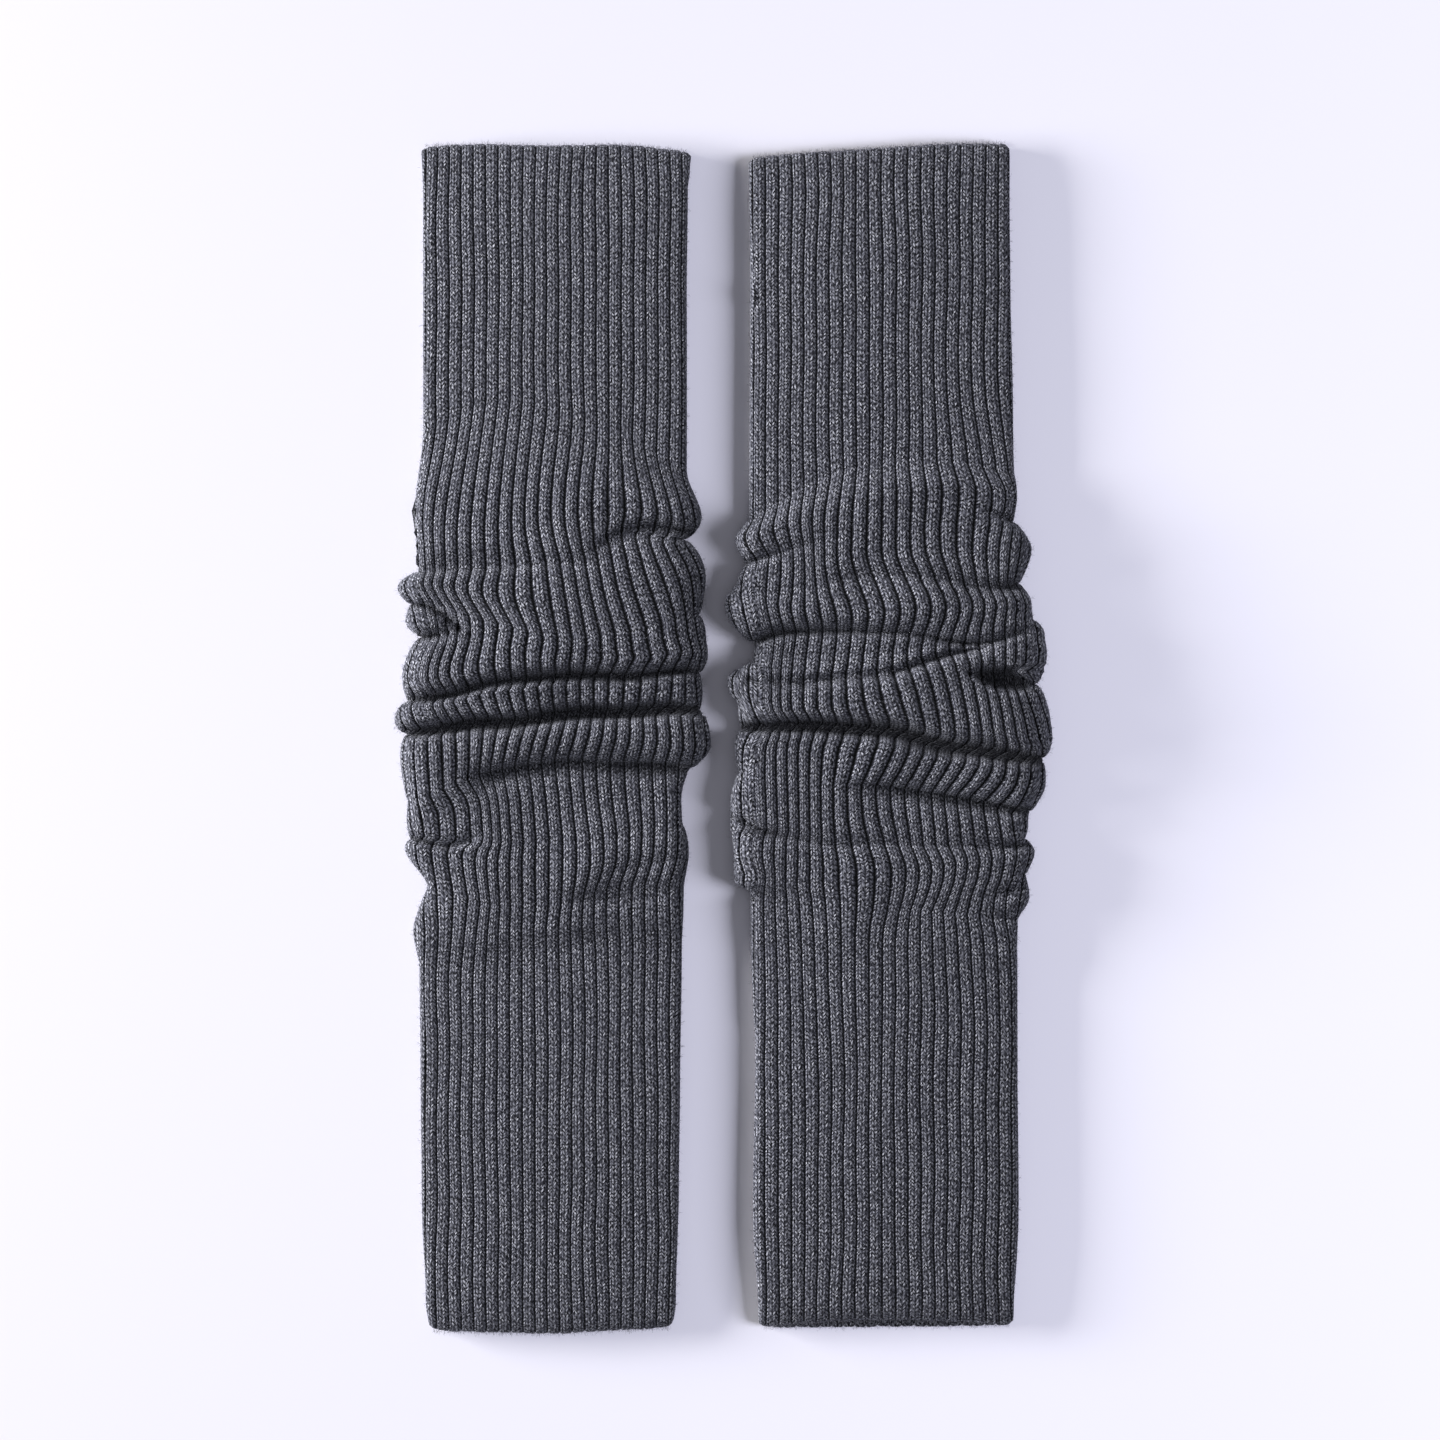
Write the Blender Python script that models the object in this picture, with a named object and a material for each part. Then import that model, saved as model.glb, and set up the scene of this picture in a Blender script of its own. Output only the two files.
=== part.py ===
"""A pair of footless calf socks, each a rib-knit tube open at both ends, lying flat side by side.

X runs across the pair, Y along the legs (the upper hems at +Y), Z up from the surface they rest on.
Each tube is two layers of cloth that lie on each other and join round the side edges. Its middle is
pushed together into cross folds, and each row of a tube's table is one fold.
"""

import math

import bpy
from mathutils import Vector

MM = 0.001

# Cloth, in millimetres
WALL = 2.0  # thickness of one layer of the rib knit
GAP = 1.2  # space between the two layers where the tube is flat
FLAT = 2 * WALL + GAP  # height of the flat tube
EDGE_RADIUS = FLAT / 2  # outer radius of the side edge where the tube is flat

# How the side edge grows with the height of the fold that reaches it
FRONT_ROUNDING = 0.9  # extra radius of the upper side per mm of extra height
BACK_ROUNDING = 0.45  # the same of the under side
EDGE_LIFT = 0.3  # extra height of the edge line per mm of extra height
EDGE_FALLOFF = 3  # power by which a bulge of one edge fades across the tube

# Points of a ring: angles round each side edge in degrees, and even steps between the edges
EDGE_ANGLES = (38.0, 90.0)
EVEN_STEPS = 8

LEVEL5 = (FLAT,) * 5
LEVEL3 = (FLAT,) * 3

# One row is one fold, from its crease to the crease of the next row. All in millimetres.
#   crease  Y of the crease at five even places across the tube, left edge to right edge
#   floor   height of the cloth in the crease at the same places
#   crest   Y of the top of the fold at the same places
#   top     height of that top at the left edge, the middle and the right edge
#   pinch   X of the left and the right edge where the crease meets them
#   tip     X of the left and the right edge where the crest meets them
#   sharp   0 for a soft valley, 1 for one as tight as the foot of a bead
#   steps   rings from crease to crest, and again from crest to the next crease


def fold(name, crease, floor, crest, top, pinch, tip, sharp, steps):
    return dict(
        name=name,
        crease=crease,
        floor=floor,
        crest=crest,
        top=top,
        pinch=pinch,
        tip=tip,
        sharp=sharp,
        steps=steps,
    )


LEFT_EDGES = (-115.3, -15.4)  # X of the straight side edges of the left tube
LEFT = (
    fold("upper_hem", (225.4, 226.5, 226.9, 225.4, 223.1), LEVEL5, (217, 217, 217, 217, 216), LEVEL3, (-116.3, -12.8), (-115.8, -13.4), 0, 1),
    fold("upper_leg", (209, 209, 209, 209, 209), LEVEL5, (165, 165, 165, 165, 165), LEVEL3, (-115.3, -14.3), (-115.3, -14.7), 0, 1),
    fold("rise", (118, 128, 129, 125, 118), LEVEL5, (86.5, 85, 85, 87.5, 83.5), (9, 12, 12), (-115.3, -14.7), (-118.2, -8.9), 0, 3),
    fold("first_valley", (62.8, 64.3, 67, 77.5, 75.4), (6, 8.5, 9.5, 7, 5.6), (57, 54, 52.5, 56.5, 61.2), (12, 15, 13), (-117, -16.4), (-125.1, -7.4), 0.8, 3),
    fold("left_trough", (50.9, 44, 37.5, 39, 46.7), (6, 11, 15, 14.5, 11), (44.4, 39.8, 34.5, 35.5, 40.2), (10, 15.5, 13), (-119.7, -10.1), (-122.2, -7.4), 0.7, 1),
    fold("left_pinch", (38.3, 35.2, 31.5, 32, 35.6), (6.5, 13, 15.5, 15, 13), (22.5, 27.2, 28.8, 29.5, 31.1), (12, 15, 13), (-115.9, -7), (-123.3, -6.5), 0.7, 2),
    fold("big_ridge_foot", (13.5, 17.3, 21.9, 23.8, 24.2), (7, 8, 7.5, 7, 6), (7, 12, 15, 17.3, 17.3), (11, 12, 10), (-120.9, -10.1), (-126.3, -8.6), 0.8, 2),
    fold("deep_crease", (1.3, 5.8, 7.4, 9.7, 10.4), (6.5, 6, 5.4, 5.4, 5.6), (-7.1, -2.6, -1.4, -0.3, -2.9), (12, 14, 13), (-121.2, -10.1), (-123.9, -5.5), 1, 3),
    fold("low_ridge_foot", (-24, -13.6, -9.8, -8.7, -11.7), (10.5, 9, 7.5, 7, 7), (-31, -24.5, -22, -22, -24), (10.5, 9, 8), (-120.9, -12.8), (-121.5, -16.8), 0.6, 1),
    fold("left_lobe", (-38.5, -41, -38.5, -36, -33), (7, 9.5, 9.3, 9, 8), (-41.7, -47.6, -49.9, -47.6, -43.8), (9.5, 11, 11), (-120, -16), (-122.2, -13.9), 0.8, 1),
    fold("soft_trough", (-56, -63.3, -64.1, -56.6, -56.8), (6, 7, 7.2, 6.6, 6.3), (-73.6, -73.6, -71.7, -67.5, -66.7), (8, 9, 8), (-115.5, -15.8), (-119, -16), 0.2, 3),
    fold("settle", (-90, -87, -83, -80, -80), LEVEL5, (-130, -130, -130, -130, -130), LEVEL3, (-116.7, -16.6), (-116.3, -17.2), 0, 1),
    fold("lower_leg", (-173.7, -173.7, -173.7, -173.7, -173.7), LEVEL5, (-216, -216, -216, -216, -216), LEVEL3, (-115.9, -17.7), (-114.4, -18.8), 0, 1),
    fold("lower_hem", (-225.7, -226.5, -226.9, -225.7, -224.6), LEVEL5, None, None, (-113.2, -20), None, 0, 0),
)

RIGHT_EDGES = (9.4, 110.2)  # X of the straight side edges of the right tube
RIGHT = (
    fold("upper_hem", (220.9, 222.8, 224.4, 225.9, 226.2), LEVEL5, (205, 205, 205, 205, 205), LEVEL3, (8.6, 108.5), (9, 108.4), 0, 1),
    fold("upper_leg", (170, 170, 170, 170, 170), LEVEL5, (130, 130, 130, 130, 130), LEVEL3, (9.4, 108.7), (9.2, 109.6), 0, 1),
    fold("rise", (83, 97.5, 105.2, 105.2, 100.6), LEVEL5, (75.8, 84.9, 91.4, 94.5, 92.5), (11, 11, 8), (9, 110.2), (3.7, 111.2), 0.4, 3),
    fold("tip_crease", (66.2, 73.1, 78, 79.2, 82.2), (6, 9, 8.5, 8, 6), (59.6, 64.7, 68.5, 70.4, 71.6), (9.5, 11, 11), (8.6, 109.5), (4.4, 116.7), 0.6, 2),
    fold("soft_line", (54.4, 55.2, 58.2, 61.2, 58.2), (9.8, 9.5, 9.5, 9, 6.5), (50.2, 47.9, 47.9, 49.4, 50.9), (11.5, 13, 12), (0.6, 111.8), (-0.5, 116.7), 0.5, 1),
    fold("band_top", (36.4, 40.6, 38.2, 38, 44.4), (6, 7, 9, 7, 10), (32.6, 31.4, 33, 35.2, 39.5), (7, 9.8, 12), (10.9, 117.5), (10.9, 121.7), 0.7, 1),
    fold("band_foot", (28.8, 24, 26.5, 32.6, 36), (6, 7.5, 9, 8, 12), (21.9, 15.8, 18.5, 27, 31.4), (12, 15, 13), (10.2, 122), (0.4, 122.5), 0.6, 3),
    fold("pit", (14.2, 12.7, 14.2, 20.5, 20.4), (12, 14.5, 15, 9, 5.8), (9.7, 9.7, 9.7, 8, -0.3), (12, 15, 14), (3.3, 117.9), (4.8, 126.3), 0.9, 2),
    fold("deep_crease", (3.2, 4.7, 2.4, -2.6, -7.9), (5.6, 5.4, 5.4, 5.4, 5.6), (-3.5, -4.6, -6.8, -10.6, -17.1), (11, 13, 12), (6.3, 120.6), (3.3, 122.1), 1, 3),
    fold("right_crease", (-13, -17.5, -19.4, -22, -28.2), (10, 10.5, 9.5, 7.5, 6), (-24, -28.5, -29.3, -30.8, -33.1), (11, 11, 10), (5.2, 116), (1.8, 115.4), 0.6, 3),
    fold("low_trough", (-35.4, -39.6, -40.4, -40.4, -38.5), (7, 8, 9, 8, 6), (-43.8, -47.6, -49.2, -47.6, -43.4), (10, 10, 10), (1.8, 114.1), (3.1, 117.9), 0.6, 2),
    fold("right_pinch", (-51.5, -53.6, -55, -54.5, -51.8), (9.5, 9.5, 9.5, 9.5, 7), (-54.8, -57.6, -59.8, -60.2, -61), (9, 9, 9), (2.9, 114.1), (3.3, 116), 0.6, 1),
    fold("settle", (-59.1, -61.4, -65.2, -66.7, -69.4), LEVEL5, (-90, -90, -90, -90, -90), LEVEL3, (9.4, 111.4), (10.4, 111.4), 0.7, 1),
    fold("lower_leg", (-114.9, -114.9, -114.9, -114.9, -114.9), LEVEL5, (-180, -180, -180, -180, -180), LEVEL3, (11.3, 111.4), (10.4, 111.9), 0, 1),
    fold("lower_hem", (-224.9, -224.9, -224.7, -224.5, -224.1), LEVEL5, None, None, (12.5, 109.9), None, 0, 0),
)

# How much shorter the upper layer is than the under layer at the middle of each lower hem
LEFT_HEM_SHORT = 0.0
RIGHT_HEM_SHORT = 3.0

LEFT_COLOR = (0.085, 0.085, 0.105, 1.0)
RIGHT_COLOR = (0.080, 0.080, 0.100, 1.0)


def across(values, u):
    """Smooth curve through evenly spaced values, at u from -1 (left edge) to 1 (right edge)."""
    spans = len(values) - 1
    at = min(max((u + 1) / 2 * spans, 0), spans)
    i = min(int(at), spans - 1)
    f = at - i
    a, b = values[i], values[i + 1]
    slope_a = (b - values[i - 1]) / 2 if i > 0 else b - a
    slope_b = (values[i + 2] - a) / 2 if i + 2 <= spans else b - a
    return (
        a * (1 + 2 * f) * (1 - f) ** 2
        + slope_a * f * (1 - f) ** 2
        + b * f * f * (3 - 2 * f)
        - slope_b * f * f * (1 - f)
    )


def climb(turn, sharp):
    """Share of the way from crease to crest, in run and in rise, at a turn from 0 to 1."""
    run = 1 - math.cos(turn * math.pi / 2)
    soft = (1 - math.cos(run * math.pi)) / 2
    return run, sharp * math.sin(turn * math.pi / 2) + (1 - sharp) * soft


def stations(rows):
    """Every ring as (lower fold, upper fold, run, rise): the share of the way from a crease to its crest."""
    for k in range(len(rows) - 1):
        this, after = rows[k], rows[k + 1]
        for i in range(this["steps"]):
            yield this, this, *climb(i / this["steps"], this["sharp"])
        for i in range(this["steps"]):
            yield after, this, *climb(1 - i / this["steps"], after["sharp"])
    last = rows[-1]
    yield last, rows[-2], 0.0, 0.0


def laterals(front_radius, back_radius, half_width):
    """Distances from the left edge, as u from -1 to 1, with the share of the rise off the edge line."""
    layers = []
    for radius in (front_radius, back_radius):
        rim = [
            (radius * (1 - math.cos(math.radians(a))) / half_width, math.sin(math.radians(a)))
            for a in EDGE_ANGLES
        ]
        inset = rim[-1][0]
        even = [
            (-1 + inset + (2 - 2 * inset) * i / EVEN_STEPS, 1.0)
            for i in range(1, EVEN_STEPS)
        ]
        layers.append(
            [(-1 + e, s) for e, s in rim]
            + even
            + [(1 - e, s) for e, s in reversed(rim)]
        )
    return layers


def ring(low, high, run, rise, edges, short):
    """Outer points of one ring: left edge, upper layer, right edge, under layer."""
    half_width = (edges[1] - edges[0]) / 2
    side = [low["pinch"][s] + (high["tip"][s] - low["pinch"][s]) * rise for s in (0, 1)]

    def along(u):
        start = across(low["crease"], u)
        return start + (across(high["crest"], u) - start) * run

    def height(u):
        foot = across(low["floor"], u)
        return foot + (across(high["top"], u) - foot) * rise

    extra = (height(-1) + height(1)) / 2 - FLAT
    rim_height = EDGE_RADIUS + EDGE_LIFT * extra
    upper, under = laterals(
        EDGE_RADIUS + FRONT_ROUNDING * extra, EDGE_RADIUS + BACK_ROUNDING * extra, half_width
    )

    def place(u, z, y_shift=0.0):
        x = (
            edges[0] + half_width * (u + 1)
            + (side[0] - edges[0]) * ((1 - u) / 2) ** EDGE_FALLOFF
            + (side[1] - edges[1]) * ((1 + u) / 2) ** EDGE_FALLOFF
        )
        return Vector((x, along(u) + y_shift, z)) * MM

    points = [place(-1, rim_height)]
    for u, share in upper:
        points.append(
            place(u, rim_height + (height(u) - rim_height) * share, short * (1 - u * u))
        )
    points.append(place(1, rim_height))
    for u, share in reversed(under):
        points.append(place(u, rim_height * (1 - share)))
    return points


def bearing(start, end):
    """Unit direction from one point to another, or none where they are one."""
    step = end - start
    return step.normalized() if step.length > 0 else step


def inside(rings):
    """The inner surface: every outer point moved in by WALL along the cloth's own normal, the hems kept level."""
    around, last = len(rings[0]), len(rings) - 1
    normals = []
    for i, points in enumerate(rings):
        row = []
        for j, point in enumerate(points):
            length_way = bearing(rings[max(i - 1, 0)][j], point) + bearing(
                point, rings[min(i + 1, last)][j]
            )
            round_way = bearing(points[j - 1], point) + bearing(
                point, points[(j + 1) % around]
            )
            normal = length_way.cross(round_way)
            if i in (0, last):
                normal.y = 0.0
            row.append(normal.normalized())
        normals.append(row)
    moved = []
    for i, points in enumerate(rings):
        row = []
        for j, point in enumerate(points):
            normal = normals[i][j]
            if 0 < i < last:
                normal = (
                    normal * 2 + normals[i - 1][j] + normals[i + 1][j]
                ).normalized()
            row.append(point - normal * WALL * MM)
        moved.append(row)
    return moved


def tube(name, rows, edges, hem_short, color, collection):
    """One closed wall: the outer surface, the inner surface and the two hems that join them."""
    places = list(stations(rows))
    outer = [
        ring(*place, edges, hem_short if i == len(places) - 1 else 0.0)
        for i, place in enumerate(places)
    ]
    inner = inside(outer)
    around = len(outer[0])
    points = [p for r in outer for p in r] + [p for r in inner for p in r]
    shift = len(outer) * around
    faces = []
    for i in range(len(outer) - 1):
        for j in range(around):
            a, b = i * around + j, i * around + (j + 1) % around
            c, d = a + around, b + around
            faces.append((a, c, d, b))
            faces.append((shift + a, shift + b, shift + d, shift + c))
    end = (len(outer) - 1) * around
    for j in range(around):
        k = (j + 1) % around
        faces.append((j, k, shift + k, shift + j))
        faces.append((end + j, shift + end + j, shift + end + k, end + k))
    mesh = bpy.data.meshes.new(name)
    mesh.from_pydata(points, [], faces)
    mesh.validate()
    mesh.polygons.foreach_set("use_smooth", [True] * len(mesh.polygons))
    material = bpy.data.materials.new(name + "_rib_knit")
    material.use_nodes = True
    material.diffuse_color = color
    shader = material.node_tree.nodes["Principled BSDF"]
    shader.inputs["Base Color"].default_value = color
    shader.inputs["Roughness"].default_value = 0.95
    mesh.materials.append(material)
    body = bpy.data.objects.new(name, mesh)
    collection.objects.link(body)
    return body


for old in list(bpy.data.objects):
    bpy.data.objects.remove(old, do_unlink=True)

pair = bpy.data.collections.new("calf_socks")
bpy.context.scene.collection.children.link(pair)
tube("calf_sock_left", LEFT, LEFT_EDGES, LEFT_HEM_SHORT, LEFT_COLOR, pair)
tube("calf_sock_right", RIGHT, RIGHT_EDGES, RIGHT_HEM_SHORT, RIGHT_COLOR, pair)
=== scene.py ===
"""Looks of a pair of footless rib-knit calf socks that lie flat side by side, seen from straight above.

Each tube is one closed shell: an outer surface with every rib modelled, rolled hems and a smooth inner
surface. It follows the same table of folds as the solid that it stands for, with finer rows, ribs that
drift sideways on the folds, and stitches, flecks and fuzz.
"""

import math

import bpy
import numpy as np
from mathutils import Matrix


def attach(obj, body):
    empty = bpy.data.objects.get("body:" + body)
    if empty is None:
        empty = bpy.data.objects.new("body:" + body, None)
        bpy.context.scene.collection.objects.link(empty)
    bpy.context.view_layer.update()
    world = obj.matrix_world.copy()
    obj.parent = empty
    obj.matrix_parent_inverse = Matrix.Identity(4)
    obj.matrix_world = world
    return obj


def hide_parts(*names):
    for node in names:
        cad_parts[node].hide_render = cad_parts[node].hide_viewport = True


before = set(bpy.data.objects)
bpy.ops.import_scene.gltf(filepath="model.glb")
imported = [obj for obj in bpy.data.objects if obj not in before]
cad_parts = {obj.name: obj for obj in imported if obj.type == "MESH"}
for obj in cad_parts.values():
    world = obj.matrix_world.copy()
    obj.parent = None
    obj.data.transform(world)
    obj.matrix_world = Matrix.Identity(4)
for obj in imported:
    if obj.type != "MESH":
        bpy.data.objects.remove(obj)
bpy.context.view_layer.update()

MM = 0.001

# Cloth, in millimetres
FLAT = 5.2  # height of the flat tube at its side edges
DOME = 1.7  # extra height of the flat tube in its middle
EDGE_RADIUS = FLAT / 2
FRONT_ROUNDING = 0.9  # extra edge radius of the upper side per mm of extra height
BACK_ROUNDING = 0.45  # the same of the under side
EDGE_LIFT = 0.3  # extra height of the edge line per mm of extra height
EDGE_FALLOFF = 4  # power by which a bulge of one edge fades across the tube
LOWEST = 4.6  # the upper layer never lies lower than this
HEM_PRESSED = 0.3  # how much lower the tube lies at its hems
SHARED = 1.5  # distance from a crease within which the ribs on both sides of it come together
CORE = 0.14  # half width of a crease's bottom per mm of its depth beyond 2 mm
SHELL = 1.7  # depth of the inner surface under the rib tops
FOLD_ROWS = 1.2  # distance between rows on the folds
FLAT_ROWS = 4.0  # distance between rows on the flat parts
UNDER_CREASE = 1.6  # how far a crease lifts the under layer off the surface
COURSE = 1.3  # height of one row of stitches

# One rib: place across it as a share of the rib, and depth under its top. It starts in the purl groove.
RIB_PLACE = (0.0, 0.06, 0.16, 0.32, 0.5, 0.68, 0.84, 0.94)
RIB_DEPTH = (1.15, 0.5, 0.08, 0.0, 0.12, 0.0, 0.08, 0.5)
# The same where the cloth is stretched over a fold: the grooves open and the ribs turn into cords
OPEN_PLACE = (0.0, 0.09, 0.21, 0.35, 0.5, 0.65, 0.79, 0.91)
OPEN_DEPTH = (1.6, 1.05, 0.28, 0.0, 0.08, 0.0, 0.28, 1.05)
INNER_EVERY = 4  # every fourth point round the outer surface goes on to the inner one

LEVEL5 = (FLAT,) * 5
LEVEL3 = (FLAT,) * 3


# One row is one fold, from its crease to the crease of the next row. All in millimetres.
#   crease  Y of the crease at five even places across the tube, left edge to right edge
#   floor   height of the cloth in the crease at the same places, or None where a drawn crease gives it
#   crest   Y of the top of the fold at the same places
#   top     height of that top at the left edge, the middle and the right edge
#   pinch   X of the left and the right edge where the crease meets them
#   tip     X of the left and the right edge where the crest meets them
#   sharp   0 for a soft valley, 1 for one as tight as the foot of a bead
def fold(name, crease, floor, crest, top, pinch, tip, sharp):
    return dict(name=name, crease=crease, floor=floor, crest=crest, top=top, pinch=pinch, tip=tip, sharp=sharp)


LEFT_EDGES = (-115.3, -15.4)
LEFT = (
    fold("upper_hem", (225.1, 225.8, 225.2, 225.6, 223.2), LEVEL5, (217, 217, 217, 217, 216), LEVEL3, (-116.3, -12.8), (-115.8, -13.4), 0),
    fold("upper_leg", (209, 209, 209, 209, 209), LEVEL5, (165, 165, 165, 165, 165), LEVEL3, (-115.3, -14.3), (-115.3, -14.7), 0),
    fold("rise", (118, 128, 126, 116, 102), LEVEL5, (86.5, 85, 85, 87.5, 83.5), (9, 12, 12), (-115.3, -14.7), (-118.2, -8.9), 0),
    fold("first_valley", (62.8, 64.3, 67, 77.5, 75.4), None, (57, 54, 52.5, 56.5, 61.2), (12, 15, 13), (-117, -16.4), (-125.1, -7.4), 0.8),
    fold("left_trough", (50.9, 44, 37.5, 39, 46.7), None, (44.4, 39.8, 34.5, 35.5, 40.2), (10, 15.5, 13), (-119.7, -10.1), (-122.2, -7.4), 0.7),
    fold("left_pinch", (38.3, 35.2, 31.5, 32, 35.6), None, (22.5, 27.2, 28.8, 29.5, 31.1), (12, 15, 13), (-115.9, -7), (-123.3, -6.5), 0.7),
    fold("big_ridge_foot", (13.5, 17.3, 21.9, 23.8, 24.2), None, (7, 12, 15, 17.3, 17.3), (11, 12, 10), (-120.9, -10.1), (-126.3, -8.6), 0.8),
    fold("deep_crease", (1.3, 5.8, 7.4, 9.7, 10.4), None, (-7.1, -2.6, -1.4, -0.3, -2.9), (12, 14, 13), (-121.2, -10.1), (-123.9, -5.5), 1),
    fold("low_ridge_foot", (-24, -13.6, -9.8, -8.7, -11.7), None, (-31, -24.5, -22, -22, -24), (10.5, 9, 8), (-120.9, -12.8), (-121.5, -16.8), 0.6),
    fold("left_lobe", (-38.5, -41, -38.5, -36, -33), None, (-41.7, -47.6, -49.9, -47.6, -43.8), (9.5, 11, 11), (-120, -16), (-122.2, -13.9), 0.8),
    fold("soft_trough", (-56, -63.3, -64.1, -56.6, -56.8), None, (-73.6, -73.6, -71.7, -67.5, -66.7), (8, 9, 8), (-113.7, -15.8), (-119, -16), 0.2),
    fold("settle", (-90, -87, -83, -80, -80), LEVEL5, (-130, -130, -130, -130, -130), LEVEL3, (-116.7, -16.6), (-116.3, -17.2), 0),
    fold("lower_leg", (-173.7, -173.7, -173.7, -173.7, -173.7), LEVEL5, (-216, -216, -216, -216, -216), LEVEL3, (-115.9, -17.7), (-114.4, -18.8), 0),
    fold("lower_hem", (-225.7, -226.5, -226.9, -225.7, -224.6), LEVEL5, None, None, (-113.2, -20), None, 0),
)

RIGHT_EDGES = (9.4, 110.2)
RIGHT = (
    fold("upper_hem", (220.9, 222.8, 224.4, 225.9, 226.2), LEVEL5, (205, 205, 205, 205, 205), LEVEL3, (8.6, 108.5), (9, 108.4), 0),
    fold("upper_leg", (170, 170, 170, 170, 170), LEVEL5, (130, 130, 130, 130, 130), LEVEL3, (9.4, 108.7), (9.2, 109.6), 0),
    fold("rise", (83, 97.5, 105.2, 105.2, 100.6), LEVEL5, (75.8, 84.9, 91.4, 94.5, 92.5), (11, 11, 8), (9, 110.2), (3.7, 111.2), 0.4),
    fold("tip_crease", (66.2, 73.1, 78, 79.2, 82.2), None, (59.6, 64.7, 68.5, 70.4, 71.6), (9.5, 11, 11), (8.6, 109.5), (4.4, 116.7), 0.6),
    fold("soft_line", (54.4, 55.2, 58.2, 61.2, 58.2), None, (50.2, 47.9, 47.9, 49.4, 50.9), (11.5, 13, 12), (0.6, 111.8), (-0.5, 116.7), 0.5),
    fold("band_top", (36.4, 40.6, 38.2, 38, 44.4), None, (32.6, 31.4, 33, 35.2, 39.5), (7, 9.8, 12), (10.9, 117.5), (10.9, 121.7), 0.7),
    fold("band_foot", (28.8, 24, 26.5, 32.6, 36), None, (21.9, 15.8, 18.5, 27, 31.4), (12, 15, 13), (10.2, 122), (0.4, 122.5), 0.6),
    fold("pit", (14.2, 12.7, 14.2, 20.5, 20.4), None, (9.7, 9.7, 9.7, 8, -0.3), (12, 15, 14), (3.3, 117.9), (4.8, 124.5), 0.9),
    fold("deep_crease", (3.2, 4.7, 2.4, -2.6, -7.9), None, (-3.5, -4.6, -6.8, -10.6, -17.1), (11, 13, 12), (6.3, 120.6), (3.3, 122.1), 1),
    fold("right_crease", (-13, -17.5, -19.4, -22, -28.2), None, (-24, -28.5, -29.3, -30.8, -33.1), (11, 11, 10), (5.2, 116), (1.8, 115.4), 0.6),
    fold("low_trough", (-35.4, -39.6, -40.4, -40.4, -38.5), None, (-43.8, -47.6, -49.2, -47.6, -43.4), (10, 10, 10), (1.8, 114.1), (3.1, 117.9), 0.6),
    fold("right_pinch", (-51.5, -53.6, -55, -54.5, -51.8), None, (-54.8, -57.6, -59.8, -60.2, -61), (9, 9, 9), (2.9, 114.1), (3.3, 116), 0.6),
    fold("settle", (-59.1, -61.4, -65.2, -66.7, -69.4), None, (-68, -71, -75, -77, -78), (6.6, 7.2, 6.6), (9.4, 111.4), (9.6, 111.4), 0.3),
    fold("calm", (-88, -90, -93, -93, -92), LEVEL5, (-105, -105, -105, -105, -105), LEVEL3, (9.9, 111.4), (10.6, 111.4), 0),
    fold("lower_leg", (-114.9, -114.9, -114.9, -114.9, -114.9), LEVEL5, (-180, -180, -180, -180, -180), LEVEL3, (11.3, 111.4), (10.4, 111.9), 0),
    fold("lower_hem", (-224.9, -224.9, -224.7, -224.5, -224.1), LEVEL5, None, None, (12.5, 109.9), None, 0),
)

# Places below are on a grid of 0.382 mm that covers the whole view, counted from its upper left corner.
GRID = 0.382
GRID_X, GRID_Y = 725.4, 737.3  # the grid place of the middle of the pair


# A drawn crease: how tight its upper and its lower flank are, a path from left to right of
# (x, y, depth in mm, width in mm of the flank above, width in mm of the flank below), and how much of each
# flank's width belongs to the bottom.
def drawn(name, above, below, *path, bottom=0.0):
    return dict(name=name, above=above, below=below, path=path, bottom=bottom)


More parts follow.
